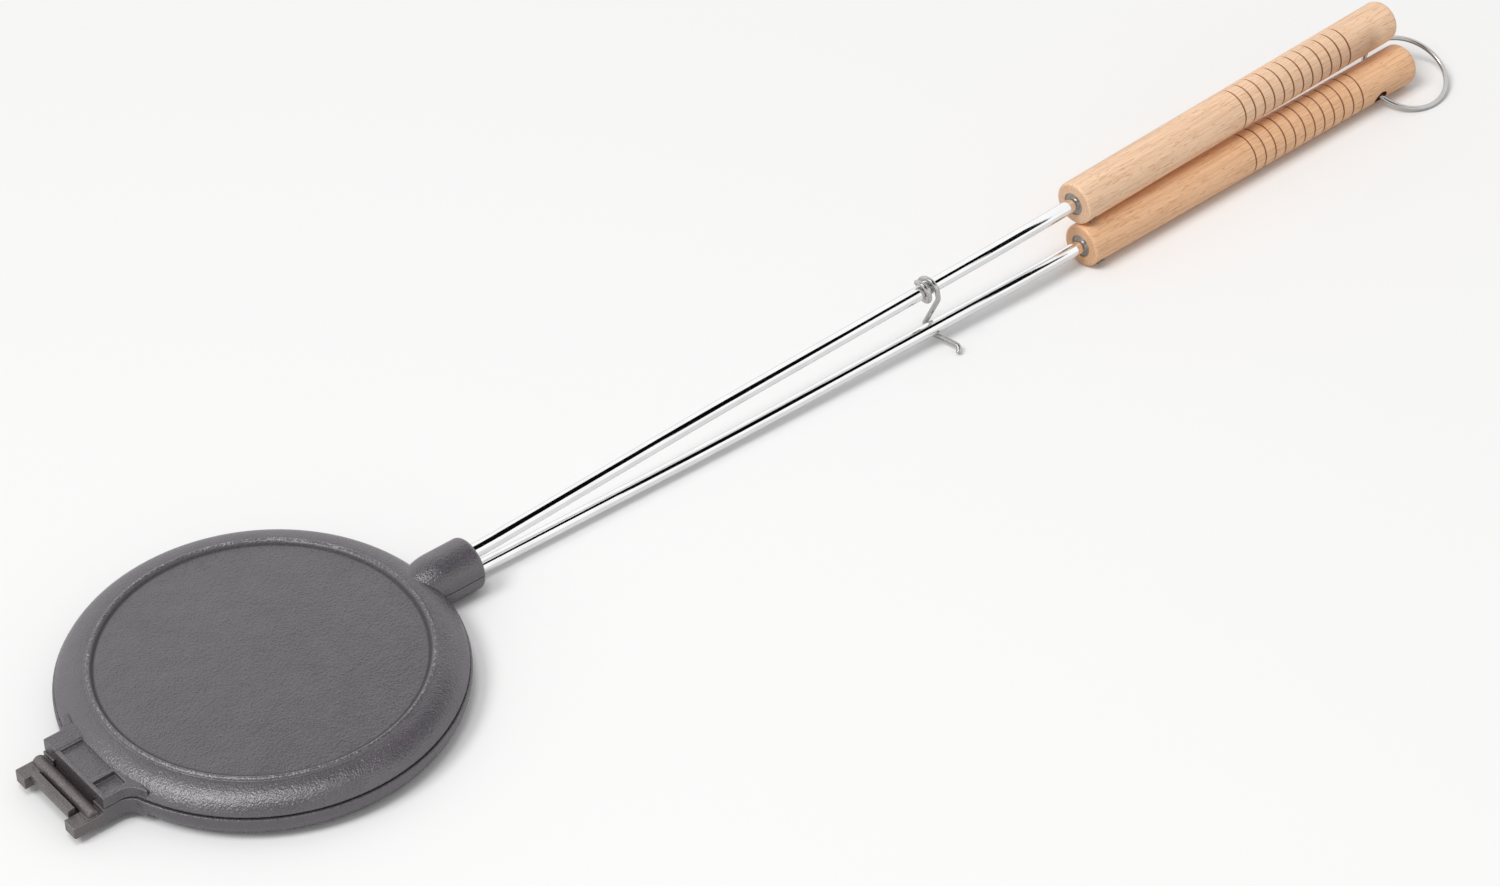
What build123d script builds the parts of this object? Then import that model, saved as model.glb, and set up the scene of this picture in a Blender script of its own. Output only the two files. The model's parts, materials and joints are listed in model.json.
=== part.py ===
from build123d import *
import math
import os

# Long-handled cast iron waffle iron, closed and lying flat, in millimetres.
# The origin is the middle of the round head's lower face, +X runs to the handles, +Z is up.

# Round head
head_diameter = 165.0
lower_height = 11.5          # rest face to the seam
upper_height = 9.0           # seam to the top of the rim bead
seam_gap = 0.5               # line left between the closed castings
corner_round = 9.5           # lower outside corner
edge_round = 0.5             # castings' sharp edges
ring_groove_setback = 5.5    # shallow groove under the head, from the outer corner
ring_groove_width = 3.0
ring_groove_depth = 0.8
shoulder_width = 13.0        # sloping band from the edge to the rim bead
shoulder_rise = 6.9
shoulder_bulge = 1.9
edge_height = 1.0            # upright edge under the shoulder
upper_inset = 1.0            # the upper casting is this much smaller in radius
bead_width = 2.6
panel_drop = 1.6             # bead top to the flat panel

# Batter cavity and its pegs
land_width = 5.0
lower_cavity_depth = 6.0
upper_cavity_depth = 4.0
cavity_draft = 1.0           # how far the cavity wall leans in
peg_pitch = 12.0
peg_base = 7.6
peg_taper = 12.0             # degrees
lower_peg_height = 4.4
upper_peg_height = 2.6
cross_channel = 8.0          # wide channels that divide the waffle in four
peg_margin = 2.0             # peg corners to the cavity wall

# Split boss
boss_diameter = 23.0
boss_length = 19.5           # beyond the edge of the head
boss_drop = 0.8              # its axis below the seam
boss_root_inset = 12.0       # where it starts, inside the edge of the head
boss_root_radius = 8.0
boss_root_length = 15.0      # its root widens over this length
boss_edge_round = 2.2
socket_wall = 2.5            # cavity wall to the end of a rod

# Rods
rod_diameter = 6.35
rod_spacing_at_boss = 10.4
rod_drop = 1.5               # middle of the two rods below the seam at the boss
rod_reach = 332.8            # boss to grip
rod_in_grip = 118.0
first_bend = 8.0             # bends, measured from the boss
second_bend = 128.0
last_bend_before_grip = 28.0
bend_radii = (200.0, 2500.0, 650.0)
lower_second_bend_y = -2.5
lower_second_bend_z = 5.4
upper_second_bend_z = 22.4

# Grips
grip_diameter = 20.0
lower_grip_length = 211.0
upper_grip_shorter = 3.5     # than the lower one
grip_front_round = 1.6
grip_end_round = 3.5
groove_count = 12
groove_pitch = 6.46
groove_width = 1.2
groove_depth = 0.6
groove_setback = 34.34       # last groove to the rear end of the upper grip
floor_gap = 0.1
lower_grip_y = -5.1          # at the front end
lower_grip_lean = 0.0289     # sideways travel for each millimetre of length
upper_grip_y = 1.0
grip_nest = 0.3              # how far the upper grip sits down beside the lower one
upper_grip_lean = 0.0562

# Bush and pin in each grip
bush_diameter = 10.6
bush_length = 14.0
bush_setback = 0.6
pin_diameter = 2.0
pin_head_diameter = 4.2
pin_head_height = 0.7
pin_setback = 5.5            # from the front end
pin_angle = 42.0             # below level, towards the near side
pin_in_rod = 1.4
fit_clearance = 0.05

# Hanging ring
ring_wire = 2.3
ring_diameter = 40.6         # to the middle of the wire
ring_hole_setback = 22.0     # from the rear end
ring_hole_tilt = 20.5        # rises towards the far side
ring_hole_yaw = 16.0         # turned towards the rear end at the far side
ring_clearance = 0.3632      # round the curved wire where the hole is tightest

# Hinge: arms and bar on the lower casting, hook on the upper one
hinge_width = 41.6
hinge_offset = -3.3          # sideways from the head's middle
hinge_reach = 21.5           # beyond the edge of the head
lower_flange_thickness = 7.2
arm_drop = 2.0               # tops of the arms below the seam
upper_flange_thickness = 5.0
arm_width = 6.7
bar_diameter = 5.4
bar_setback = 9.8            # outer end of the arms to the middle of the bar
bar_inset = 1.0              # bar's ends, from the outer faces of the arms
hinge_clearance = 1.5
hook_side_gap = 1.0
hook_thickness = 3.2
hook_lip_height = 2.2
window_clearance = 1.5
step_gap = 0.8               # flange edge to the step down to the arms
flange_blend = 7.0
blend_sink = 0.2             # how far the blends end inside the head's wall
flange_overlap = 8.0
flange_edge_round = 0.8
lug_width = 8.0
lug_height = 0.5
near_flat_width = 8.1
near_flat_depth = 2.2
far_flat_depth = 1.4
flat_rib = 1.6               # between the two flats, and at their outer end
near_flat_border = 2.1       # near side of the flange to the near flat
far_flat_border = 1.0        # far flat to the lug
flat_setback = 4.2           # edge of the head to the flats' inner end

# Latch wire
latch_wire = 2.3
latch_station = 244.6        # from the boss, along the upper rod
latch_rod_gap = 0.5
latch_pitch = 4.6
latch_start = -30.0          # degrees round the rod from its top, towards the near side
latch_leave = 450.0
latch_drop = 4.0
latch_back = 2.0
latch_side_gap = 3.0
latch_under_gap = 0.7
latch_foot = 12.0
latch_foot_forward = 4.5
latch_tip = 1.6
latch_bend_radii = (3.4, 3.4, 2.4)

# Places worked out from the sizes
head_radius = head_diameter / 2
cavity_radius = head_radius - land_width
upper_base = lower_height + seam_gap
seam_middle = lower_height + seam_gap / 2
head_top = upper_base + upper_height
lower_corner = min(corner_round, lower_height - 2 * edge_round)
boss_radius = boss_diameter / 2
boss_z = seam_middle - boss_drop
boss_end = head_radius + boss_length
rod_radius = rod_diameter / 2
rod_start = cavity_radius + socket_wall
grip_radius = grip_diameter / 2
grip_front = boss_end + rod_reach
upper_grip_length = lower_grip_length - upper_grip_shorter
first_groove = upper_grip_length - groove_setback - groove_pitch * (groove_count - 1)
lower_grip_z = grip_radius + floor_gap
upper_grip_z = lower_grip_z + 2 * grip_radius - grip_nest
bar_x = -(head_radius + hinge_reach - bar_setback)
bar_z = lower_height - arm_drop + 0.25
bar_radius = bar_diameter / 2
hook_inner = bar_radius + hinge_clearance
hook_outer = hook_inner + hook_thickness
hook_half_width = hinge_width / 2 - arm_width - hook_side_gap
window_x = bar_x + hook_outer + window_clearance


# Small helpers

def block(low, high):
    """A box between two corners."""
    size = [b - a for a, b in zip(low, high)]
    middle = [(a + b) / 2 for a, b in zip(low, high)]
    return Pos(*middle) * Box(*size)


def grip_axis(front, lean):
    """The frame of a grip: +Z along it, +X to the near side, +Y down."""
    along = Vector(1, lean, 0).normalized()
    return Plane(origin=front, x_dir=along.cross(Vector(0, 0, 1)), z_dir=along)


def rod_path(points):
    """A rod's middle line, with its bends."""
    return FilletPolyline(*points, radius=list(bend_radii))


def point_on_rod(points, x):
    """The point at a given x on a rod's middle line."""
    path = rod_path(points)
    low, high = 0.0, 1.0
    for _ in range(50):
        middle = (low + high) / 2
        if (path @ middle).X < x:
            low = middle
        else:
            high = middle
    return path @ low


def across(frame, angle, along):
    """A frame whose +Z points out of a grip's side, at an angle down from its near side."""
    turned = frame.location * Pos(0, 0, along) * Rot(0, 0, angle) * Rot(0, 90, 0)
    return Plane(turned)


# Castings

def cavity_side(edge, level, depth, rise):
    """The outline's run from the land into the cavity and to the middle."""
    floor = level + rise * depth
    return Polyline((edge - edge_round, level), (cavity_radius, level),
                    (cavity_radius - cavity_draft, floor), (0, floor))


def lower_outline():
    """Half section of the lower round casting."""
    flat = head_radius - lower_corner
    groove = flat - ring_groove_setback
    under = Polyline((0, 0), (groove - ring_groove_width, 0),
                     (groove - ring_groove_width + ring_groove_depth, ring_groove_depth),
                     (groove - ring_groove_depth, ring_groove_depth), (groove, 0), (flat, 0))
    corner = RadiusArc((flat, 0), (head_radius, lower_corner), -lower_corner)
    wall = Line(corner @ 1, (head_radius, lower_height - edge_round))
    edge = RadiusArc(wall @ 1, (head_radius - edge_round, lower_height), -edge_round)
    inside = cavity_side(head_radius, lower_height, lower_cavity_depth, -1)
    close = Line(inside @ 1, (0, 0))
    return make_face(Curve() + [under, corner, wall, edge, inside, close])


def upper_outline():
    """Half section of the upper round casting, with its shoulder, rim bead and panel."""
    outer = head_radius - upper_inset
    start = Vector(outer, upper_base + edge_height)
    bead = Vector(head_radius - shoulder_width, start.Y + shoulder_rise)
    slope = (bead - start).normalized()
    bulge = (start + bead) / 2 + Vector(-slope.Y, slope.X) * -shoulder_bulge
    bead_inside = Vector(bead.X - bead_width, head_top - panel_drop / 2)
    bead_top = Vector(bead.X - bead_width / 2, head_top)
    panel = Vector(bead_inside.X - panel_drop / 2, head_top - panel_drop)
    edge = RadiusArc((outer - edge_round, upper_base), (outer, upper_base + edge_round), -edge_round)
    wall = Line(edge @ 1, start)
    shoulder = ThreePointArc(start, bulge, bead)
    rim = ThreePointArc(bead, bead_top, bead_inside)
    top = Polyline(bead_inside, panel, (0, panel.Y))
    inside = cavity_side(outer, upper_base, upper_cavity_depth, 1)
    close = Line(inside @ 1, top @ 1)
    return make_face(Curve() + [edge, wall, shoulder, rim, top, inside, close])


def turned(outline):
    """A body turned about +Z from an outline drawn as radius and height."""
    return revolve(Plane.XZ * outline, Axis.Z)


def hollow(level, depth, rise):
    """The batter cavity of one casting, without its pegs."""
    floor = level + rise * depth
    return turned(make_face(Polyline((0, level), (cavity_radius, level),
                                     (cavity_radius - cavity_draft, floor), (0, floor),
                                     (0, level))))


def peg_places():
    """The middles of the pegs: four equal blocks that stay inside the cavity."""
    first = cross_channel / 2 + peg_base / 2
    limit = cavity_radius - cavity_draft - peg_margin
    steps = [first + peg_pitch * i for i in range(int(limit / peg_pitch) + 1)]
    corner = peg_base / 2
    inside = [(x, y) for x in steps for y in steps if math.hypot(x + corner, y + corner) < limit]
    return [(sx * x, sy * y) for x, y in inside for sx in (-1, 1) for sy in (-1, 1)]


def pegs(floor, height, direction):
    """All the pegs of one casting, standing on its cavity's floor."""
    peg = extrude(Rectangle(peg_base, peg_base), amount=height, taper=peg_taper)
    if direction < 0:
        peg = Rot(180, 0, 0) * peg
    return [Pos(x, y, floor) * peg for x, y in peg_places()]


def boss():
    """The whole round boss, before it is split at the seam."""
    start = head_radius - boss_root_inset
    full = start + boss_root_length
    side = Line((start, 0), (start, boss_root_radius))
    root = Spline((start, boss_root_radius), (full, boss_radius), tangents=((1, 0.35), (1, 0)))
    length = Line((full, boss_radius), (boss_end - boss_edge_round, boss_radius))
    corner = RadiusArc(length @ 1, (boss_end, boss_radius - boss_edge_round), boss_edge_round)
    end = Polyline(corner @ 1, (boss_end, 0), (start, 0))
    section = make_face(Curve() + [side, root, length, corner, end])
    return Pos(0, 0, boss_z) * revolve(Plane.XZ * section, Axis.X)


def slab(low_z, high_z):
    """A wide slab that keeps what lies between two heights."""
    reach = head_diameter * 2
    return block((-reach, -reach, low_z), (reach, reach, high_z))


def flange_plan(outer, rim):
    """A hinge flange from above, with its blends into the edge of the head."""
    inner = -head_radius + flange_overlap
    tongue = Pos((outer + inner) / 2, hinge_offset) * Rectangle(inner - outer, hinge_width)
    plan = Sketch() + [Circle(rim - blend_sink), tongue]
    corners = [v for v in plan.vertices()
               if abs(abs(v.Y - hinge_offset) - hinge_width / 2) < 0.01 and v.X > outer + 1]
    plan = fillet(corners, flange_blend)
    plan -= Circle(cavity_radius + socket_wall / 2)
    return plan & (Pos(outer, hinge_offset) * Rectangle(2 * (inner - outer),
                                                        hinge_width + 2 * flange_blend))


def lower_flange():
    """The lower flange with its window and its two stepped arms."""
    outer = -(head_radius + hinge_reach)
    plan = flange_plan(outer, head_radius)
    low = lower_height - lower_flange_thickness
    body = extrude(Pos(0, 0, low) * plan, amount=lower_flange_thickness)
    body = fillet(body.edges().group_by(Axis.X)[0].filter_by(Axis.Z), flange_edge_round)
    inner_y = hinge_width / 2 - arm_width
    body -= block((outer - 1, hinge_offset - inner_y, low - 1),
                  (window_x, hinge_offset + inner_y, lower_height + 1))
    return body - block((outer - 1, -head_radius, lower_height - arm_drop),
                        (bar_x + hook_inner - step_gap, head_radius, lower_height + 1))


def hinge_bar():
    """The round cast bar across the arms."""
    length = hinge_width - 2 * bar_inset
    bar = Rot(90, 0, 0) * Cylinder(bar_radius, length)
    bar = fillet(bar.edges().filter_by(GeomType.CIRCLE), flange_edge_round)
    return Pos(bar_x, hinge_offset, bar_z) * bar


def rod_socket(z):
    """The bore that a rod's end fills."""
    length = boss_end + 1 - rod_start
    return Pos(rod_start + length / 2, 0, z) * Rot(0, 90, 0) * Cylinder(rod_radius, length)


def lower_half():
    """The lower casting."""
    floor = lower_height - lower_cavity_depth
    head = turned(lower_outline())
    head += (boss() & slab(0, lower_height)) - hollow(lower_height, lower_cavity_depth, -1)
    head += lower_flange() + hinge_bar()
    head += pegs(floor, lower_peg_height, 1)
    return head - rod_socket(rod_levels()[0])


def hook():
    """The hook: a web under the flange, a curved part below the bar and a lip outside it."""
    middle = (hook_inner + hook_outer) / 2
    ring = Circle(hook_outer) - Circle(hook_inner)
    lower_part = ring & (Pos(0, -hook_outer) * Rectangle(2 * hook_outer, 2 * hook_outer))
    lip = Pos(-middle, hook_lip_height / 2) * Rectangle(hook_thickness, hook_lip_height)
    web_height = upper_base + 1 - bar_z
    web = Pos(middle, web_height / 2) * Rectangle(hook_thickness, web_height)
    section = Sketch() + [lower_part, lip, web]
    start = Plane((bar_x, hinge_offset + hook_half_width, bar_z), x_dir=(1, 0, 0), z_dir=(0, -1, 0))
    solid = extrude(start * section, amount=2 * hook_half_width)
    top = solid.edges().filter_by(Axis.Y).group_by(Axis.X)[0].sort_by(Axis.Z)[-1:]
    return fillet(top, flange_edge_round)


def upper_flange():
    """The upper flange with its lug and its two sunk flats."""
    top = upper_base + upper_flange_thickness
    outer = bar_x + hook_inner
    plan = flange_plan(outer, head_radius - upper_inset)
    plate = extrude(Pos(0, 0, upper_base) * plan, amount=upper_flange_thickness)
    edges = plate.edges().filter_by(Axis.Y).filter_by_position(Axis.Z, top - 0.01, top + 0.01)
    plate = fillet(edges.sort_by(Axis.X)[:1], flange_edge_round)
    side = hinge_offset + hinge_width / 2
    lug = block((outer, side - lug_width, top - 1),
                (-head_radius + flange_overlap, side, top + lug_height))
    return plate + fillet(lug.edges().group_by(Axis.Z)[-1], lug_height / 2)


def sunk_flats():
    """The two flats cut into the upper flange and the foot of the shoulder."""
    top = upper_base + upper_flange_thickness
    outer = bar_x + hook_inner + flat_rib
    inner = flat_setback - head_radius
    side = hinge_width / 2
    near_low = hinge_offset - side + near_flat_border
    near_high = near_low + near_flat_width
    far_high = hinge_offset + side - lug_width - far_flat_border
    return [block((outer, near_low, top - near_flat_depth), (inner, near_high, top + upper_height)),
            block((outer, near_high + flat_rib, top - far_flat_depth),
                  (inner, far_high, top + upper_height))]


def upper_half():
    """The upper casting."""
    ceiling = upper_base + upper_cavity_depth
    head = turned(upper_outline())
    upper_boss = boss() & slab(upper_base, seam_middle + 2 * boss_radius)
    head += upper_boss - hollow(upper_base, upper_cavity_depth, 1)
    head += upper_flange()
    head += hook()
    head -= sunk_flats()
    head += pegs(ceiling, upper_peg_height, -1)
    return head - rod_socket(rod_levels()[1])


# Rods and grips

def rod_levels():
    """Heights of the two rods where they leave the boss."""
    half = rod_spacing_at_boss / 2
    middle = seam_middle - rod_drop
    return middle - half, middle + half


def grip_frames():
    """The frames of the lower and the upper grip."""
    lower = grip_axis((grip_front, lower_grip_y, lower_grip_z), lower_grip_lean)
    upper = grip_axis((grip_front, upper_grip_y, upper_grip_z), upper_grip_lean)
    return lower, upper


def route(level, middle_y, middle_z, frame):
    """The corners of a rod's route: socket, two gentle bends, the last bend and its tip."""
    along = frame.z_dir
    last = frame.origin - along * (last_bend_before_grip / along.X)
    return [Vector(rod_start, 0, level), Vector(boss_end + first_bend, 0, level),
            Vector(boss_end + second_bend, middle_y, middle_z), last,
            frame.origin + along * rod_in_grip]


def rod_routes():
    """The routes of the lower and the upper rod."""
    levels = rod_levels()
    frames = grip_frames()
    lower = route(levels[0], lower_second_bend_y, lower_second_bend_z, frames[0])
    upper = route(levels[1], 0.0, upper_second_bend_z, frames[1])
    return lower, upper


def rod(points, frame):
    """A bent rod, drilled for the grip's pin."""
    path = rod_path(points)
    section = Plane(origin=path @ 0, z_dir=path % 0) * Circle(rod_radius)
    bar = sweep(section, path=path)
    return bar - pin_hole(frame)


def pin_hole(frame):
    """The pin's hole, from inside the rod to the outside of the grip."""
    side = across(frame, pin_angle, pin_setback)
    length = grip_radius - rod_radius + pin_in_rod + 1
    middle = rod_radius - pin_in_rod + length / 2
    return side.location * Pos(0, 0, middle) * Cylinder(pin_diameter / 2 + fit_clearance, length)


def pin(frame):
    """A headed pin through grip and bush into the rod."""
    side = across(frame, pin_angle, pin_setback)
    low = rod_radius - pin_in_rod + fit_clearance
    shank = Pos(0, 0, (low + grip_radius) / 2) * Cylinder(pin_diameter / 2, grip_radius - low)
    head = Pos(0, 0, grip_radius + pin_head_height / 2) * Cylinder(
        pin_head_diameter / 2, pin_head_height)
    head = fillet(head.edges().group_by(Axis.Z)[-1], pin_head_height / 2)
    return side.location * (shank + head)


def pin_seat(frame):
    """A flat on the grip under the pin's head."""
    side = across(frame, pin_angle, pin_setback)
    depth = 2.0
    return side.location * Pos(0, 0, grip_radius + depth / 2) * Cylinder(
        pin_head_diameter / 2 + 2 * fit_clearance, depth)


def bush(frame):
    """A steel bush in the grip's front end, round the rod."""
    tube = Cylinder(bush_diameter / 2, bush_length) - Cylinder(rod_radius + fit_clearance, bush_length)
    placed = frame.location * Pos(0, 0, bush_setback + bush_length / 2) * tube
    return placed - pin_hole(frame)


def grip_outline(grip_length):
    """Half section of a grip, with its grooves."""
    corners = [(0, 0), (grip_radius - grip_front_round, 0)]
    front = RadiusArc(corners[-1], (grip_radius, grip_front_round), -grip_front_round)
    side = [(grip_radius, grip_front_round)]
    for i in range(groove_count):
        z = first_groove + groove_pitch * i
        side += [(grip_radius, z - groove_width / 2), (grip_radius - groove_depth, z),
                 (grip_radius, z + groove_width / 2)]
    side.append((grip_radius, grip_length - grip_end_round))
    rear = RadiusArc(side[-1], (grip_radius - grip_end_round, grip_length), -grip_end_round)
    back = Polyline(rear @ 1, (0, grip_length), (0, 0))
    return make_face(Curve() + [Polyline(*corners), front, Polyline(*side), rear, back])


def grip(frame, grip_length):
    """A turned grip with the bore for its rod, bush and pin."""
    body = revolve(Plane.XZ * grip_outline(grip_length), Axis.Z)
    bore_length = rod_in_grip + 1
    body -= Pos(0, 0, bore_length / 2) * Cylinder(rod_radius + fit_clearance, bore_length)
    seat_length = bush_setback + bush_length
    body -= Pos(0, 0, seat_length / 2) * Cylinder(bush_diameter / 2 + fit_clearance, seat_length)
    return frame.location * body - pin_hole(frame) - pin_seat(frame)


# Hanging ring

def ring_hole_radius(frame):
    """Half the bore: the wire's inner side clears the hole's mouth where the hole is deepest."""
    lean = math.asin(ring_axis().dot(frame.z_dir))
    inner = (ring_diameter - ring_wire) / 2
    reach = ring_diameter / 2 - ring_bow() / 2
    radius = ring_wire
    for _ in range(50):
        mouth = grip_radius / math.cos(lean) + radius * math.tan(lean)
        radius = reach - math.sqrt(inner ** 2 - mouth ** 2) + ring_clearance
    return radius


def ring_bow():
    """How far the ring's wire bows inside the grip, out to the deeper side of the slanting hole."""
    radius = ring_diameter / 2
    yaw = math.radians(ring_hole_yaw)
    inside = grip_radius / math.cos(yaw) + ring_wire * math.tan(yaw)
    return radius - math.sqrt(radius ** 2 - inside ** 2)


def ring_hole_middle(frame):
    """The middle of the ring's hole, on the grip's axis."""
    return frame.origin + frame.z_dir * (lower_grip_length - ring_hole_setback)


def ring_hole(frame):
    """The cross hole for the ring."""
    tilt = Plane(origin=ring_hole_middle(frame), z_dir=ring_axis())
    return tilt.location * Cylinder(ring_hole_radius(frame), 3 * grip_diameter)


def ring_axis():
    """The direction of the cross hole, rising to the far side."""
    tilt = math.radians(ring_hole_tilt)
    yaw = math.radians(ring_hole_yaw)
    return Vector(math.sin(yaw) * math.cos(tilt), math.cos(yaw) * math.cos(tilt), math.sin(tilt))


def ring_rest_sine(frame):
    """Sine of the ring's droop from level when its wire lies on the floor."""
    tilt = math.radians(ring_hole_tilt)
    radius = ring_diameter / 2
    reach = radius - ring_bow() / 2
    height = ring_hole_middle(frame).Z - ring_wire / 2 - floor_gap
    a = (reach ** 2 - radius ** 2) * math.cos(tilt) ** 2
    b = -2 * height * reach * math.cos(tilt)
    c = height ** 2 - (radius * math.sin(tilt)) ** 2
    root = math.sqrt(b * b - 4 * a * c)
    roots = [(-b - root) / (2 * a), (-b + root) / (2 * a)]
    return min(roots, key=abs)


def hang_ring(frame):
    """The wire ring, lying with its low side on the floor."""
    sine = ring_rest_sine(frame)
    yaw = math.radians(ring_hole_yaw)
    level = Vector(math.cos(yaw), -math.sin(yaw), 0)
    down = ring_axis().cross(level)
    outward = level * math.sqrt(1 - sine ** 2) + down * sine
    reach = ring_diameter / 2 - ring_bow() / 2
    middle = ring_hole_middle(frame) + outward * reach
    plane = Plane(origin=middle, z_dir=ring_axis().cross(outward))
    return plane.location * Torus(ring_diameter / 2, ring_wire / 2)


# Latch

def biarc(p0, t0, p1, t1):
    """Two arcs that join two points with given directions."""
    chord = p1 - p0
    both = t0 + t1
    turn = 2 * (1 - t0.dot(t1))
    reach = (-chord.dot(both) + math.sqrt(chord.dot(both) ** 2 + turn * chord.dot(chord))) / turn
    middle = (p0 + t0 * reach + p1 - t1 * reach) / 2
    first = TangentArc(p0, middle, tangent=t0)
    return [first, TangentArc(middle, p1, tangent=first % 1)]


def latch_winding(centre):
    """Points and directions of the loose turns round the upper rod."""
    radius = rod_radius + latch_rod_gap + latch_wire / 2
    count = math.ceil((latch_leave - latch_start) / 90)
    step = (latch_leave - latch_start) / count
    climb = latch_pitch / 360
    middle = (latch_leave + latch_start) / 2
    marks = []
    for i in range(count + 1):
        angle = latch_start + step * i
        a = math.radians(angle)
        place = Vector(climb * (angle - middle), -radius * math.sin(a), radius * math.cos(a))
        heading = Vector(math.degrees(climb), -radius * math.cos(a), -radius * math.sin(a))
        marks.append((centre + place, heading.normalized()))
    return marks


def latch_hook_points(start, lower):
    """The corners of the wire from the winding down, under the lower rod and out."""
    beside = rod_radius + latch_side_gap + latch_wire / 2
    under = lower.Z - rod_radius - latch_under_gap - latch_wire / 2
    floor = latch_wire / 2 + floor_gap
    drop = start + Vector(latch_drop * math.degrees(latch_pitch / 360)
                          / (rod_radius + latch_rod_gap + latch_wire / 2), 0, -latch_drop)
    corner = Vector(drop.X - latch_back, lower.Y + beside, under)
    foot = Vector(corner.X + latch_foot_forward, lower.Y - latch_foot, under)
    tip = Vector(foot.X - latch_tip, foot.Y - latch_tip, floor)
    return [start, drop, corner, foot, tip]


def latch_centre():
    """The point of the upper rod that the latch is wound round."""
    return point_on_rod(rod_routes()[1], boss_end + latch_station)


def latch():
    """The latch, bent from one wire."""
    centre = latch_centre()
    lower = point_on_rod(rod_routes()[0], centre.X)
    marks = latch_winding(centre)
    winding = []
    for (p0, t0), (p1, t1) in zip(marks, marks[1:]):
        winding += biarc(p0, t0, p1, t1)
    points = latch_hook_points(marks[-1][0], lower)
    tail = FilletPolyline(*points, radius=list(latch_bend_radii))
    path = Wire(winding + tail.edges())
    section = Plane(origin=marks[0][0], z_dir=marks[0][1]) * Circle(latch_wire / 2)
    return sweep(section, path=path)


def print_latch_gap():
    """The least gap of the winding to itself, from points along it."""
    marks = [p for p, _ in latch_winding(Vector(0, 0, 0))]
    radius = math.hypot(marks[0].Y, marks[0].Z)
    turns = [(math.radians(d), latch_pitch * d / 360)
             for d in range(0, int(latch_leave - latch_start) + 1, 5)]
    spots = [Vector(x, radius * math.cos(a), radius * math.sin(a)) for a, x in turns]
    apart = math.pi
    gap = min((p - q).length for (a, _), p in zip(turns, spots) for (b, _), q in zip(turns, spots)
              if b - a > apart)
    print("least gap of the latch's winding to itself:", round(gap - latch_wire, 2), "mm")


def write(name, shape):
    """One file for one piece."""
    shape.label = name
    export_step(shape, "parts/" + name + ".step")


def main():
    os.makedirs("parts", exist_ok=True)
    lower_frame, upper_frame = grip_frames()
    lower_route, upper_route = rod_routes()
    write("lower_half", lower_half())
    write("upper_half", upper_half())
    write("lower_rod", rod(lower_route, lower_frame))
    write("upper_rod", rod(upper_route, upper_frame))
    write("lower_grip", grip(lower_frame, lower_grip_length) - ring_hole(lower_frame))
    write("upper_grip", grip(upper_frame, upper_grip_length))
    write("lower_grip_bush", bush(lower_frame))
    write("upper_grip_bush", bush(upper_frame))
    write("lower_grip_pin", pin(lower_frame))
    write("upper_grip_pin", pin(upper_frame))
    write("hang_ring", hang_ring(lower_frame))
    write("latch", latch())
    print_latch_gap()


main()
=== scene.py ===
import json
import math

import bpy
from bpy.props import FloatProperty, FloatVectorProperty, PointerProperty
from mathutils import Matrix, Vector


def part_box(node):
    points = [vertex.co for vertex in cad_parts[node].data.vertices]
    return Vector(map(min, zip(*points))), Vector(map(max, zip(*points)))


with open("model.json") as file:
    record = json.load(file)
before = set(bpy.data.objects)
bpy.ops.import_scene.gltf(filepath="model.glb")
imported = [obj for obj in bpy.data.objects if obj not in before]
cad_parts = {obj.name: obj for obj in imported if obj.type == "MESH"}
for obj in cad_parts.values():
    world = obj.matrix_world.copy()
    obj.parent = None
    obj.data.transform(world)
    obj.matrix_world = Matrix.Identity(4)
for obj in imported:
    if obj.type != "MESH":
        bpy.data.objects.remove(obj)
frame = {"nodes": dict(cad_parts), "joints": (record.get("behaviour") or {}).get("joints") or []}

bl_info = {
    "name": "Long-handled waffle iron",
    "version": (1, 0, 0),
    "blender": (4, 5, 0),
    "location": "3D View > Sidebar > Waffle Iron",
    "description": "Finishes a cast iron waffle iron with beech grips and lights it on a pale floor",
    "category": "Object",
}

# Lengths are in metres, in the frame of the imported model, and angles are in degrees.


# Sizes and colours that a user can change

def colour(name, description, default):
    """A colour property."""
    return FloatVectorProperty(name=name, description=description, subtype="COLOR", size=3,
                               min=0, max=1, default=default)


def length(name, description, default):
    """A length property."""
    return FloatProperty(name=name, description=description, unit="LENGTH", subtype="DISTANCE",
                         min=0, precision=6, default=default)


def factor(name, description, default, high=1):
    """A plain number from nought upwards."""
    return FloatProperty(name=name, description=description, subtype="FACTOR", min=0, max=high,
                         default=default)


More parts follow.
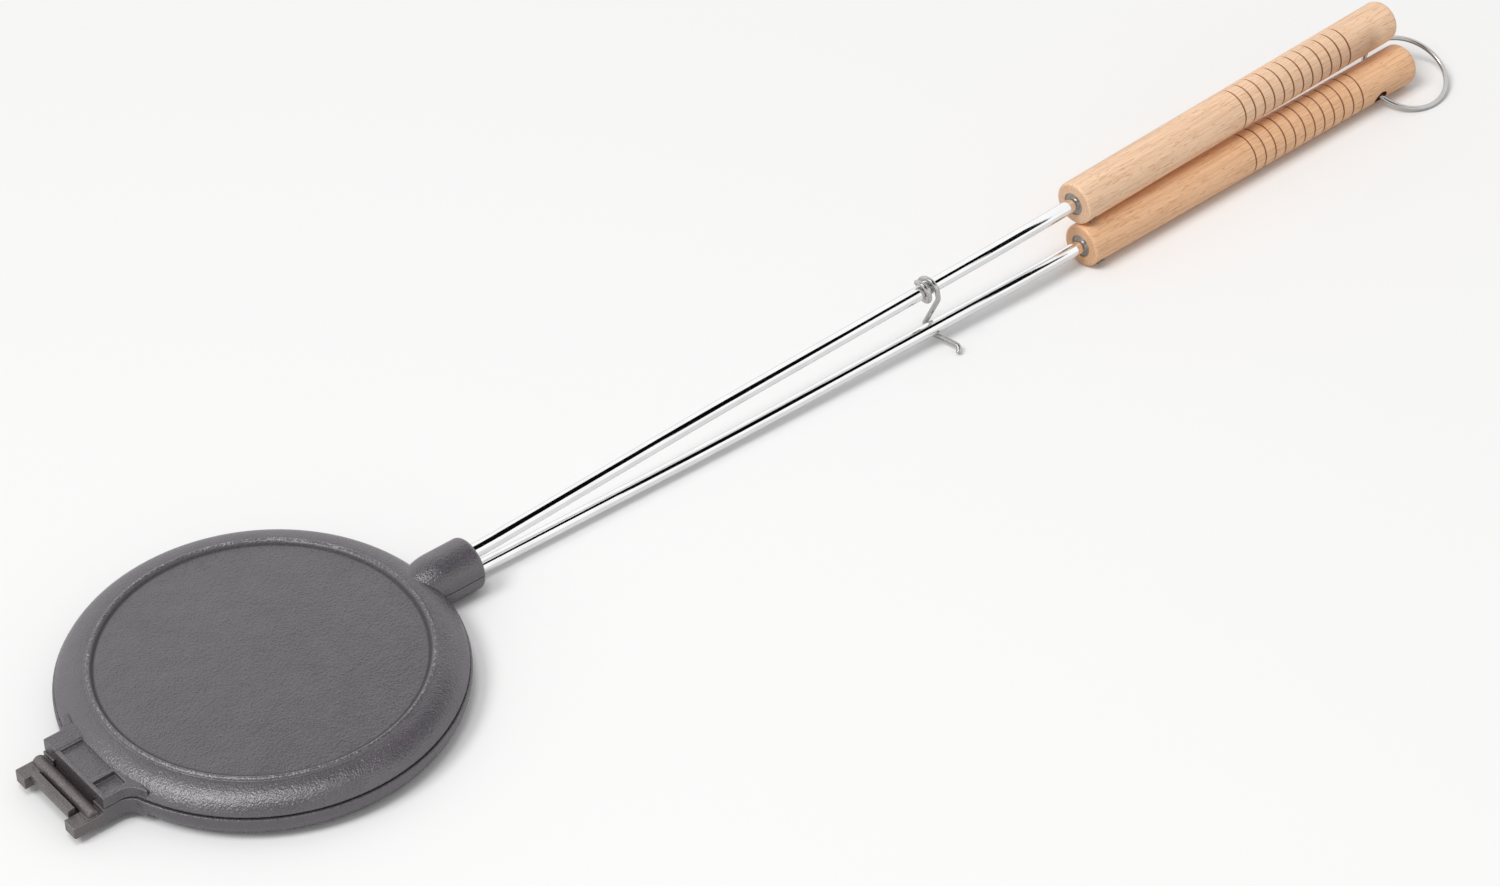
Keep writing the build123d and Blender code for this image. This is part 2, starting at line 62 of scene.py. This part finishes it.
class CastIronLook(bpy.types.PropertyGroup):
    """The sand-cast skin of the two round castings."""
    dark: colour("Dark", "Seasoned iron in the hollows", (0.065, 0.057, 0.068))
    light: colour("Light", "Iron where the skin is thin", (0.089, 0.077, 0.092))
    worn: colour("Worn", "Bare iron along sharp edges", (0.3, 0.3, 0.31))
    # The dark line in the foot of the rim bead is baked oil with painted shade, the shade of that
    # hollow
    foot_oil_and_shade: colour("Soot", "Baked oil in the foot of the rim bead", (0.018, 0.017, 0.018))
    bloom: colour("Bloom", "Brown bloom round the hinge bar", (0.1, 0.078, 0.065))
    bloom_reach: length("Bloom reach", "How far in front of the hinge bar the bloom ends", 0.012)
    blotch: length("Blotch size", "Width of one pale or dark blotch", 0.012)
    pebble: length("Pebble size", "Width of one grain of the sand-cast skin", 0.0009)
    pebble_height: length("Pebble height", "Height of one grain", 0.00034)
    bead_foot: length("Bead foot", "Distance from the middle to the foot of the rim bead", 0.0662)
    foot_line: length("Foot line", "Half width of the dark line in the bead's foot", 0.0011)
    bead_crest: length("Bead crest", "Distance from the middle to the top of the rim bead", 0.0682)
    # The rubbed line on the bead's top also carries pale specks, which are wear and painted glints
    # at once
    crest_line: length("Crest line", "Half width of the rubbed line on the bead's top", 0.0009)
    edge: length("Edge round", "How far the casting's edges are rounded", 0.0005)
    roughness: factor("Roughness", "How dull the skin is", 0.24)
    gloss: FloatProperty(name="Gloss", description="Index of refraction of the seasoned skin",
                         min=1, default=1.85)


class BrightSteelLook(bpy.types.PropertyGroup):
    """Plated rods, drawn wire, bushes and pins."""
    plated: colour("Plated", "Bright plated rods", (0.93, 0.93, 0.935))
    wire: colour("Wire", "Plain drawn wire", (0.55, 0.54, 0.53))
    bush: colour("Bush", "Turned bushes", (0.4, 0.37, 0.34))
    pin: colour("Pin", "Pins in the grips", (0.22, 0.2, 0.19))


class BeechLook(bpy.types.PropertyGroup):
    """Turned beech grips."""
    upper: colour("Upper grip", "Pale pinkish beech", (0.91, 0.625, 0.42))
    lower: colour("Lower grip", "Warmer beech", (0.86, 0.53, 0.31))
    burnt: colour("Burnt", "The scorched grooves", (0.25, 0.09, 0.032))
    fibre_length: length("Fibre length", "Length of one fine streak along the grain", 0.03)
    fibre_width: length("Fibre width", "Width of one fine streak", 0.0006)
    fleck_length: length("Fleck length", "Length of one dark fleck along the grain", 0.005)
    fleck_width: length("Fleck width", "Width of one dark fleck", 0.0006)
    ring_spacing: length("Ring spacing", "Distance between growth rings", 0.0032)
    ring_length: length("Ring length", "How far one growth ring's band runs along the grip", 0.09)
    char_depth: length("Char depth", "How deep in a groove the wood is dark", 0.00022)


class StudioLook(bpy.types.PropertyGroup):
    """The floor, the lights and the camera."""
    floor: factor("Floor", "How light the floor looks", 0.955)
    sky: factor("Sky", "Strength of the even light from all round", 0.535, 4)
    shown_sky: factor("Shown sky", "How light the room looks in bright metal", 1.05, 4)
    key: factor("Key", "Strength of the soft light from the far left", 1.12, 20)
    overhead: FloatProperty(name="Overhead", description="Power of the small overhead softbox",
                            unit="POWER", min=0, default=8)
    focal: FloatProperty(name="Focal length", description="Lens of the camera in millimetres",
                         min=1, default=104.2)


class WaffleIronLook(bpy.types.PropertyGroup):
    """All the sizes and colours of the scene."""
    iron: PointerProperty(type=CastIronLook, name="Cast iron", description="The castings")
    steel: PointerProperty(type=BrightSteelLook, name="Steel", description="Rods and wires")
    beech: PointerProperty(type=BeechLook, name="Beech", description="The grips")
    studio: PointerProperty(type=StudioLook, name="Studio", description="Floor, light, camera")


# Material helpers

# The sockets of a Mix node that mixes colours: share, first colour, second colour, result
MIX_SHARE, MIX_FIRST, MIX_SECOND, MIX_RESULT = 0, 6, 7, 2


class Finish:
    """One material: a Principled shader, and short calls for the nodes that feed it."""

    def __init__(self, name):
        self.material = bpy.data.materials.new(name)
        self.material.use_nodes = True
        self.tree = self.material.node_tree
        self.tree.nodes.clear()
        self.shader = self.add("ShaderNodeBsdfPrincipled", {})
        output = self.add("ShaderNodeOutputMaterial", {})
        self.tree.links.new(self.shader.outputs[0], output.inputs[0])
        self.place = self.add("ShaderNodeTexCoord", {}).outputs["Object"]

    def add(self, kind, inputs, **settings):
        """A node with its settings, and its inputs by name or number: values or sockets."""
        node = self.tree.nodes.new(kind)
        for name, value in settings.items():
            setattr(node, name, value)
        for name, value in inputs.items():
            self.feed(node.inputs[name], value)
        return node

    def feed(self, socket, value):
        """Links a socket to a socket, or sets its value."""
        if isinstance(value, bpy.types.NodeSocket):
            self.tree.links.new(value, socket)
        elif socket.type == "RGBA":
            socket.default_value = (*value[:3], 1)
        else:
            socket.default_value = value

    def shade(self, **inputs):
        """Sets the shader's own sockets. An underscore stands for a space."""
        for name, value in inputs.items():
            self.feed(self.shader.inputs[name.replace("_", " ")], value)

    def turned(self, origin, angle):
        """Places measured from an origin, with X turned about Z by an angle in radians."""
        return self.add("ShaderNodeMapping", {"Vector": self.place, "Location": origin,
                                              "Rotation": (0, 0, angle)},
                        vector_type="TEXTURE").outputs[0]

    def noise(self, place, cell, detail=2.0, rough=0.5, warp=0.0):
        """Smooth noise from 0 to 1, with cells of a size along X, Y and Z."""
        counted = self.add("ShaderNodeMapping", {"Vector": place,
                                                 "Scale": [1 / size for size in cell]})
        return self.add("ShaderNodeTexNoise", {
            "Vector": counted.outputs[0], "Scale": 1.0, "Detail": detail,
            "Roughness": rough, "Distortion": warp}).outputs[0]

    def parts(self, place):
        """The X, Y and Z of a place."""
        return self.add("ShaderNodeSeparateXYZ", {0: place}).outputs

    def off_axis(self, first, second):
        """The distance from an axis, given two offsets at right angles to it."""
        flat = self.add("ShaderNodeCombineXYZ", {0: first, 1: second}).outputs[0]
        return self.add("ShaderNodeVectorMath", {0: flat}, operation="LENGTH").outputs["Value"]

    def calc(self, kind, first, second=0.5):
        """One arithmetic step."""
        return self.add("ShaderNodeMath", {0: first, 1: second}, operation=kind).outputs[0]

    def step(self, value, low, high, to_low=0.0, to_high=1.0):
        """A smooth step of a value between two levels."""
        inputs = {"Value": value, "From Min": low, "From Max": high,
                  "To Min": to_low, "To Max": to_high}
        return self.add("ShaderNodeMapRange", inputs, interpolation_type="SMOOTHSTEP").outputs[0]

    def mix(self, share, first, second, kind="MIX"):
        """Two colours mixed by a share."""
        inputs = {MIX_SHARE: share, MIX_FIRST: first, MIX_SECOND: second}
        node = self.add("ShaderNodeMix", inputs, data_type="RGBA", blend_type=kind)
        return node.outputs[MIX_RESULT]

    def bump(self, height, distance, normal=None):
        """A bump of a height, on top of another normal."""
        inputs = {"Height": height, "Distance": distance, "Strength": 1.0}
        if normal is not None:
            inputs["Normal"] = normal
        return self.add("ShaderNodeBump", inputs).outputs[0]

    def put_on(self, *names):
        """Gives the finish to CAD nodes."""
        for name in names:
            for slot in frame["nodes"][name].material_slots:
                slot.material = self.material


# Castings

# How well a rounded and a true normal agree, on a flat face and on an edge that is worn bare
FLAT_FACE = 0.995
SHARP_EDGE = 0.9
# How much wider and lower than one grain the skin's broad unevenness is
SWELL_WIDTH = 5
SWELL_HEIGHT = 0.4
# How much glossier a grain's top is than the skin, and how much duller its foot
PEBBLE_GLOSS = 0.07
# How much duller the line of baked oil and painted shade in the bead's foot is, and how much
# glossier the rubbed line on the bead's top
FOOT_LINE_DULLNESS = 0.5
CREST_GLOSS = 0.08
# Half width of the full middle of both lines
LINE_CORE = 0.0003
# How far behind the hinge bar's middle the bloom is full, and how strong it is there
BLOOM_FULL = 0.002
BLOOM_SHARE = 0.55
# How far below the top of the boss the bead and the panel lie at most, and how this limit fades
BEAD_DROP = 0.0035
BEAD_FADE = 0.001
# The levels of the noise between which blotches, grains, bare edges, the bead top's specks of rubbed
# iron and painted glint, and gloss set in
BLOTCH_LEVELS = (0.2, 0.8)
GRAIN_LEVELS = (0.35, 0.75)
WORN_LEVELS = (0.35, 0.65)
GLINT_SPECK_LEVELS = (0.5, 0.68)
GLOSS_LEVELS = (0.3, 0.8)
# How much paler a grain's top is, and how bare an edge is in a dark and in a pale blotch
GRAIN_SHARE = 0.35
WORN_SHARES = (0.25, 0.7)


def iron_edges(finish, edge):
    """Rounded normals at the edges, and how sharp the edge is there, from 0 to 1."""
    soft = finish.add("ShaderNodeBevel", {"Radius": edge}, samples=6).outputs[0]
    hard = finish.add("ShaderNodeNewGeometry", {}).outputs["Normal"]
    turn = finish.add("ShaderNodeVectorMath", {0: soft, 1: hard},
                      operation="DOT_PRODUCT").outputs["Value"]
    return soft, finish.step(turn, FLAT_FACE, SHARP_EDGE)


def bead_line(finish, from_middle, on_top, radius, half_width):
    """A line round the top of the casting at a radius, from 0 beside it to 1 in its core."""
    off_line = finish.calc("ABSOLUTE", finish.calc("SUBTRACT", from_middle, radius))
    return finish.calc("MULTIPLY", finish.step(off_line, half_width, LINE_CORE), on_top)


def cast_skin(name, look, bar_x, top_z):
    """Sand-cast iron: pebbled, blotched, bare along its edges, brown at the hinge bar, with painted
    shade in the foot of the rim bead and rubbed specks with painted glints on its top.
    """
    finish = Finish(name)
    soft, sharp = iron_edges(finish, look.edge)
    along, side, rise = finish.parts(finish.place)
    pebble = finish.noise(finish.place, (look.pebble,) * 3, detail=2.5, rough=0.55)
    swell = finish.noise(finish.place, (look.pebble * SWELL_WIDTH,) * 3, detail=1.0)
    blotch = finish.noise(finish.place, (look.blotch,) * 3, detail=4.0, rough=0.6)

    on_top = finish.step(rise, top_z - BEAD_DROP - BEAD_FADE, top_z - BEAD_DROP)
    from_middle = finish.off_axis(along, side)
    foot = bead_line(finish, from_middle, on_top, look.bead_foot, look.foot_line)
    crest = bead_line(finish, from_middle, on_top, look.bead_crest, look.crest_line)
    # Painted glints: pale specks of bare iron along the bead's top, which are rubbed wear and also
    # stand in for the glints there
    crest_glint_speck = finish.calc("MULTIPLY", crest, finish.step(pebble, *GLINT_SPECK_LEVELS))
    near_bar = finish.step(along, bar_x + look.bloom_reach, bar_x - BLOOM_FULL,
                           to_high=BLOOM_SHARE)
    worn = finish.calc("MULTIPLY", sharp, finish.step(blotch, *WORN_LEVELS, *WORN_SHARES))

    tone = finish.mix(finish.step(blotch, *BLOTCH_LEVELS), look.dark, look.light)
    tone = finish.mix(finish.step(pebble, *GRAIN_LEVELS, to_high=GRAIN_SHARE), tone, look.light)
    tone = finish.mix(near_bar, tone, look.bloom)
    tone = finish.mix(worn, tone, look.worn)
    # Painted shade: the line in the foot of the rim bead is darkened for baked oil and for the shade
    # in that hollow
    tone = finish.mix(foot, tone, look.foot_oil_and_shade)
    tone = finish.mix(crest_glint_speck, tone, look.worn)

    dull = finish.step(pebble, *GLOSS_LEVELS, look.roughness + PEBBLE_GLOSS,
                       look.roughness - PEBBLE_GLOSS)
    dull = finish.calc("ADD", dull, finish.calc("MULTIPLY", foot, FOOT_LINE_DULLNESS))
    dull = finish.calc("SUBTRACT", dull, finish.calc("MULTIPLY", crest, CREST_GLOSS))
    normal = finish.bump(swell, look.pebble_height * SWELL_HEIGHT, soft)
    normal = finish.bump(pebble, look.pebble_height, normal)
    finish.shade(Base_Color=tone, Roughness=dull, Normal=normal, Metallic=0.0, IOR=look.gloss)
    return finish


class WAFFLE_OT_castings(bpy.types.Operator):
    """Give both round castings their sand-cast skin"""
    bl_idname = "waffle.castings"
    bl_label = "Castings"

    def execute(self, context):
        look = context.scene.waffle_iron.iron
        hinge = next(joint for joint in frame["joints"] if joint["name"] == "lid_hinge")
        bar_x = hinge["pos_m"][0]
        top_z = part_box("upper_half")[1].z
        for name in ("lower_half", "upper_half"):
            cast_skin(name + "_skin", look, bar_x, top_z).put_on(name)
        return {"FINISHED"}


# Rods and small steel

# How much longer than wide a streak is, and how much wider than a streak a cloud is
STREAK_LENGTH = 40
CLOUD_WIDTH = 30
# How light the steel is in a darker cloud
CLOUD_SHADE = 0.93
# How the roughness varies from streak to streak
SMOOTH_STREAK = 0.75
ROUGH_STREAK = 1.3
# The levels of the noise between which clouds and streaks set in
STEEL_LEVELS = (0.3, 0.7)


def drawn_steel(name, tone, roughness, streak, height):
    """Steel drawn or ground along X, with fine streaks of a width and a height."""
    finish = Finish(name)
    streaks = finish.noise(finish.place, (streak * STREAK_LENGTH, streak, streak),
                           detail=3.0, rough=0.6)
    cloud = finish.noise(finish.place, (streak * CLOUD_WIDTH,) * 3)
    shade = finish.step(cloud, *STEEL_LEVELS, to_low=CLOUD_SHADE)
    grey = finish.add("ShaderNodeCombineColor", {0: shade, 1: shade, 2: shade}).outputs[0]
    worked = finish.mix(1.0, tone, grey, "MULTIPLY")
    dull = finish.step(streaks, *STEEL_LEVELS, roughness * SMOOTH_STREAK, roughness * ROUGH_STREAK)
    finish.shade(Base_Color=worked, Metallic=1.0, Roughness=dull,
                 Normal=finish.bump(streaks, height))
    return finish


class WAFFLE_OT_rods(bpy.types.Operator):
    """Give both rods their bright plating"""
    bl_idname = "waffle.rods"
    bl_label = "Rods"

    def execute(self, context):
        look = context.scene.waffle_iron.steel
        drawn_steel("plated_rod", look.plated, roughness=0.07, streak=0.0004,
                    height=0.0000006).put_on("lower_rod", "upper_rod")
        return {"FINISHED"}


class WAFFLE_OT_wires(bpy.types.Operator):
    """Give the latch and the hanging ring their drawn wire finish"""
    bl_idname = "waffle.wires"
    bl_label = "Latch and ring"

    def execute(self, context):
        look = context.scene.waffle_iron.steel
        drawn_steel("drawn_wire", look.wire, roughness=0.2, streak=0.0003,
                    height=0.000003).put_on("latch", "hang_ring")
        return {"FINISHED"}


class WAFFLE_OT_fittings(bpy.types.Operator):
    """Give the bushes and the pins their dull steel"""
    bl_idname = "waffle.fittings"
    bl_label = "Bushes and pins"

    def execute(self, context):
        look = context.scene.waffle_iron.steel
        drawn_steel("turned_bush", look.bush, roughness=0.42, streak=0.0002,
                    height=0.000004).put_on("lower_grip_bush", "upper_grip_bush")
        drawn_steel("dull_pin", look.pin, roughness=0.4, streak=0.0002,
                    height=0.000004).put_on("lower_grip_pin", "upper_grip_pin")
        return {"FINISHED"}


# Grips

# How much darker than the wood its streaks and flecks are, in red, green and blue
GRAIN_SHADE = (0.74, 0.6, 0.48)
# How much lighter the wood is between its growth rings
PALE_GAIN = 1.1
# Width of a growth ring's band, across and upwards, in ring spacings
BAND_SIDE = 1.6
BAND_RISE = 4
# How deep the front end's grain reaches, and how dark it is
END_DEPTH = 0.0004
END_SHARE = 0.25
# In char depths, where the wood of a groove starts to darken and where it is fully dark
CHAR_START = 0.3
CHAR_FULL = 2
# The bare stretches at the front and back ends of a grip, and how far the char fades there
FRONT_BARE = 0.02
BACK_BARE = 0.01
BARE_FADE = 0.01
# How far fibres and flecks stand out
FIBRE_HEIGHT = 0.00002
FLECK_HEIGHT = 0.00001
# The levels of the noise between which growth rings, fibres, flecks and dull fibres set in
RING_LEVELS = (0.32, 0.68)
FIBRE_LEVELS = (0.4, 0.7)
FLECK_LEVELS = (0.58, 0.7)
DULL_LEVELS = (0.3, 0.7)
# How dark fibres and flecks are, and the wood's roughness beside and in a fibre
FIBRE_SHARE = 0.55
FLECK_SHARE = 0.75
WOOD_ROUGHNESS = (0.4, 0.52)


def grip_line(node):
    """A round grip's radius, length, front middle and sideways lean, from its box."""
    low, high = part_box(node)
    radius = (high.z - low.z) / 2
    lean = math.atan2(high.y - low.y - 2 * radius, high.x - low.x)
    end_room = radius * math.sin(lean)
    front = Vector((low.x + end_room, low.y + radius, (high.z + low.z) / 2))
    return radius, (high.x - low.x - 2 * end_room) / math.cos(lean), front, lean


def beech_skin(name, node, tone, look):
    """Turned beech: growth rings, short dark flecks, scorched grooves and end grain."""
    finish = Finish(name)
    radius, reach, front, lean = grip_line(node)
    place = finish.turned(front, lean)
    along, side, rise = finish.parts(place)
    spacing = look.ring_spacing
    wave = finish.noise(place, (look.ring_length, spacing * BAND_SIDE, spacing * BAND_RISE),
                        warp=0.4)
    fibre = finish.noise(place, (look.fibre_length, look.fibre_width, look.fibre_width),
                         detail=3.0, rough=0.65)
    fleck = finish.noise(place, (look.fleck_length, look.fleck_width, look.fleck_width),
                         detail=1.0)
    dark = [part * share for part, share in zip(tone, GRAIN_SHADE)]
    pale = [min(1.0, part * PALE_GAIN) for part in tone]
    end_grain = finish.step(along, END_DEPTH, 0.0, to_high=END_SHARE)
    sunk = finish.step(finish.off_axis(side, rise), radius - look.char_depth * CHAR_START,
                       radius - look.char_depth * CHAR_FULL)
    body = finish.calc("MULTIPLY", finish.step(along, FRONT_BARE, FRONT_BARE + BARE_FADE),
                       finish.step(along, reach - BACK_BARE, reach - BACK_BARE - BARE_FADE))

    wood = finish.mix(finish.step(wave, *RING_LEVELS), pale, tone)
    wood = finish.mix(finish.step(fibre, *FIBRE_LEVELS, to_high=FIBRE_SHARE), wood, dark)
    wood = finish.mix(finish.step(fleck, *FLECK_LEVELS, to_high=FLECK_SHARE), wood, dark)
    wood = finish.mix(end_grain, wood, look.burnt)
    wood = finish.mix(finish.calc("MULTIPLY", sunk, body), wood, look.burnt)
    dull = finish.step(fibre, *DULL_LEVELS, *WOOD_ROUGHNESS)
    normal = finish.bump(fleck, FLECK_HEIGHT, finish.bump(fibre, FIBRE_HEIGHT))
    finish.shade(Base_Color=wood, Roughness=dull, Normal=normal, Specular_IOR_Level=0.4)
    return finish


class WAFFLE_OT_grips(bpy.types.Operator):
    """Give both grips their turned beech"""
    bl_idname = "waffle.grips"
    bl_label = "Grips"

    def execute(self, context):
        look = context.scene.waffle_iron.beech
        beech_skin("upper_beech", "upper_grip", look.upper, look).put_on("upper_grip")
        beech_skin("lower_beech", "lower_grip", look.lower, look).put_on("lower_grip")
        return {"FINISHED"}


# Stage

# The floor's width and middle, its warm tint, and how much of its shown lightness it throws back
FLOOR_WIDTH = 12
FLOOR_MIDDLE = (0.25, 0, 0)
FLOOR_TINT = (1.0, 0.997, 0.994)
FLOOR_BOUNCE = 0.8
# The way that the key shines, and how wide it looks in the sky
KEY_TOWARDS = Vector((1.5, -0.15, -2.1))
KEY_ANGLE = 22
# The overhead softbox: its place, what it is turned to, and its width
OVERHEAD_PLACE = Vector((-0.42, -0.34, 1.9))
OVERHEAD_AIM = Vector((0.1, -0.05, 0))
OVERHEAD_WIDTH = 0.6
# The outline of the card over the rods, seen from above, and its height over the floor
ROD_CARD = ((-0.02, 0.2), (0.15, 0.2), (0.3, 0.14), (0.36, 0.08), (0.47, 0.0), (0.6, 0.03),
            (0.64, -0.12), (0.8, -0.42), (0.7, -0.48), (0.6, -0.25), (0.54, -0.31),
            (0.5, -0.42), (0.42, -0.38), (0.38, -0.26), (0.29, -0.28), (0.27, -0.36),
            (0.13, -0.36), (0.12, -0.1), (0.0, 0.0))
ROD_CARD_HEIGHT = 0.35
# The card behind the camera: its middle, the way that its long side runs, and half its sides
BACK_CARD_MIDDLE = Vector((-1.0, -1.4, 1.6))
BACK_CARD_ALONG = Vector((1.4, -1.0, 0))
BACK_CARD_HALF_WIDTH = 1.1
BACK_CARD_HALF_HEIGHT = 0.4835
CARD_BLACK = (0.004, 0.004, 0.004)
# The camera's place and the way that it looks, fitted to the photograph
CAMERA_PLACE = Vector((-0.6448, -1.0768, 1.1917))
CAMERA_AHEAD = Vector((0.4853, 0.5845, -0.6503))
# The width of its film in millimetres, and how far it sees
FILM_WIDTH = 36
VIEW_END = 30


def clear_start_scene():
    """Removes what a new file starts with."""
    for name in ("Cube", "Light", "Camera"):
        start = bpy.data.objects.get(name)
        if start is not None:
            bpy.data.objects.remove(start)


def facing(direction):
    """The rotation that turns a lamp or a camera to look along a direction."""
    return direction.to_track_quat("-Z", "Y").to_euler()


def make_floor(level):
    """A wide pale floor that keeps soft shadows."""
    bpy.ops.mesh.primitive_plane_add(size=FLOOR_WIDTH, location=FLOOR_MIDDLE)
    floor = bpy.context.object
    floor.name = "studio_floor"
    finish = Finish("pale_floor")
    seen = finish.add("ShaderNodeLightPath", {}).outputs["Is Camera Ray"]
    shown = [level * tint for tint in FLOOR_TINT]
    lit = [FLOOR_BOUNCE * part for part in shown]
    finish.shade(Base_Color=finish.mix(seen, lit, shown), Roughness=0.9,
                 Specular_IOR_Level=0.0)
    floor.data.materials.append(finish.material)


def make_sky(sky, shown):
    """An even room, brighter where it is seen or mirrored."""
    world = bpy.data.worlds.new("studio_room")
    world.use_nodes = True
    tree = world.node_tree
    tree.nodes.clear()
    output = tree.nodes.new("ShaderNodeOutputWorld")
    path = tree.nodes.new("ShaderNodeLightPath")
    either = tree.nodes.new("ShaderNodeMath")
    either.operation = "MAXIMUM"
    mix = tree.nodes.new("ShaderNodeMixShader")
    tree.links.new(path.outputs["Is Camera Ray"], either.inputs[0])
    tree.links.new(path.outputs["Is Glossy Ray"], either.inputs[1])
    tree.links.new(either.outputs[0], mix.inputs[0])
    for socket, strength in zip(mix.inputs[1:], (sky, shown)):
        room = tree.nodes.new("ShaderNodeBackground")
        room.inputs["Color"].default_value = (1, 1, 1, 1)
        room.inputs["Strength"].default_value = strength
        tree.links.new(room.outputs[0], socket)
    tree.links.new(mix.outputs[0], output.inputs[0])
    bpy.context.scene.world = world


def make_key(strength):
    """A wide soft light from the far left, even over the whole floor."""
    bpy.ops.object.light_add(type="SUN", location=-KEY_TOWARDS)
    key = bpy.context.object
    key.name = "soft_key"
    key.data.energy = strength
    key.data.angle = math.radians(KEY_ANGLE)
    key.rotation_euler = facing(KEY_TOWARDS)


def make_overhead(power):
    """A small softbox overhead, which the near shoulder of the head mirrors."""
    bpy.ops.object.light_add(type="AREA", location=OVERHEAD_PLACE)
    box = bpy.context.object
    box.name = "overhead_softbox"
    box.data.shape = "DISK"
    box.data.size = OVERHEAD_WIDTH
    box.data.energy = power
    box.rotation_euler = facing(OVERHEAD_AIM - OVERHEAD_PLACE)


def black_card(name, corners):
    """A black card that only glossy surfaces see."""
    mesh = bpy.data.meshes.new(name)
    mesh.from_pydata(corners, [], [range(len(corners))])
    card = bpy.data.objects.new(name, mesh)
    bpy.context.scene.collection.objects.link(card)
    finish = Finish(name + "_cloth")
    finish.shade(Base_Color=CARD_BLACK, Roughness=1.0, Specular_IOR_Level=0.0)
    mesh.materials.append(finish.material)
    card.visible_camera = False
    card.visible_diffuse = False
    card.visible_shadow = False


def make_cards():
    """Two black cards: one over the rods, for their dark line, and one behind the camera."""
    black_card("card_over_rods", [(x, y, ROD_CARD_HEIGHT) for x, y in ROD_CARD])
    middle = BACK_CARD_MIDDLE
    side = BACK_CARD_ALONG.normalized() * BACK_CARD_HALF_WIDTH
    up = middle.cross(side).normalized() * BACK_CARD_HALF_HEIGHT
    black_card("card_behind_camera", [middle - side - up, middle + side - up,
                                      middle + side + up, middle - side + up])


def make_camera(focal):
    """The camera, at the photograph's viewing angle."""
    bpy.ops.object.camera_add(location=CAMERA_PLACE)
    camera = bpy.context.object
    camera.name = "photo_camera"
    camera.rotation_euler = facing(CAMERA_AHEAD)
    camera.data.sensor_width = FILM_WIDTH
    camera.data.lens = focal
    camera.data.clip_end = VIEW_END
    bpy.context.scene.camera = camera


class WAFFLE_OT_stage(bpy.types.Operator):
    """Make the floor, the lights and the camera"""
    bl_idname = "waffle.stage"
    bl_label = "Stage"

    def execute(self, context):
        look = context.scene.waffle_iron.studio
        make_floor(look.floor)
        make_sky(look.sky, look.shown_sky)
        make_key(look.key)
        make_overhead(look.overhead)
        make_cards()
        make_camera(look.focal)
        context.scene.view_settings.view_transform = "Standard"
        return {"FINISHED"}


class WAFFLE_PT_sidebar(bpy.types.Panel):
    """The finishes and the stage, one button each"""
    bl_idname = "WAFFLE_PT_sidebar"
    bl_label = "Waffle Iron"
    bl_space_type = "VIEW_3D"
    bl_region_type = "UI"
    bl_category = "Waffle Iron"

    def draw(self, context):
        for step in STEPS:
            self.layout.operator(step.bl_idname)


STEPS = (WAFFLE_OT_castings, WAFFLE_OT_rods, WAFFLE_OT_wires, WAFFLE_OT_fittings, WAFFLE_OT_grips,
         WAFFLE_OT_stage)
CLASSES = (CastIronLook, BrightSteelLook, BeechLook, StudioLook, WaffleIronLook, *STEPS,
           WAFFLE_PT_sidebar)


def register():
    """Makes the operators, the panel and the looks known to Blender."""
    for item in CLASSES:
        bpy.utils.register_class(item)
    bpy.types.Scene.waffle_iron = PointerProperty(type=WaffleIronLook)


def unregister():
    """Takes them away again."""
    del bpy.types.Scene.waffle_iron
    for item in reversed(CLASSES):
        bpy.utils.unregister_class(item)


def main():
    """Finishes every piece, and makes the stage."""
    clear_start_scene()
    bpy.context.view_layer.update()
    register()
    bpy.ops.waffle.castings()
    bpy.ops.waffle.rods()
    bpy.ops.waffle.wires()
    bpy.ops.waffle.fittings()
    bpy.ops.waffle.grips()
    bpy.ops.waffle.stage()


if __name__ == "__main__":
    main()
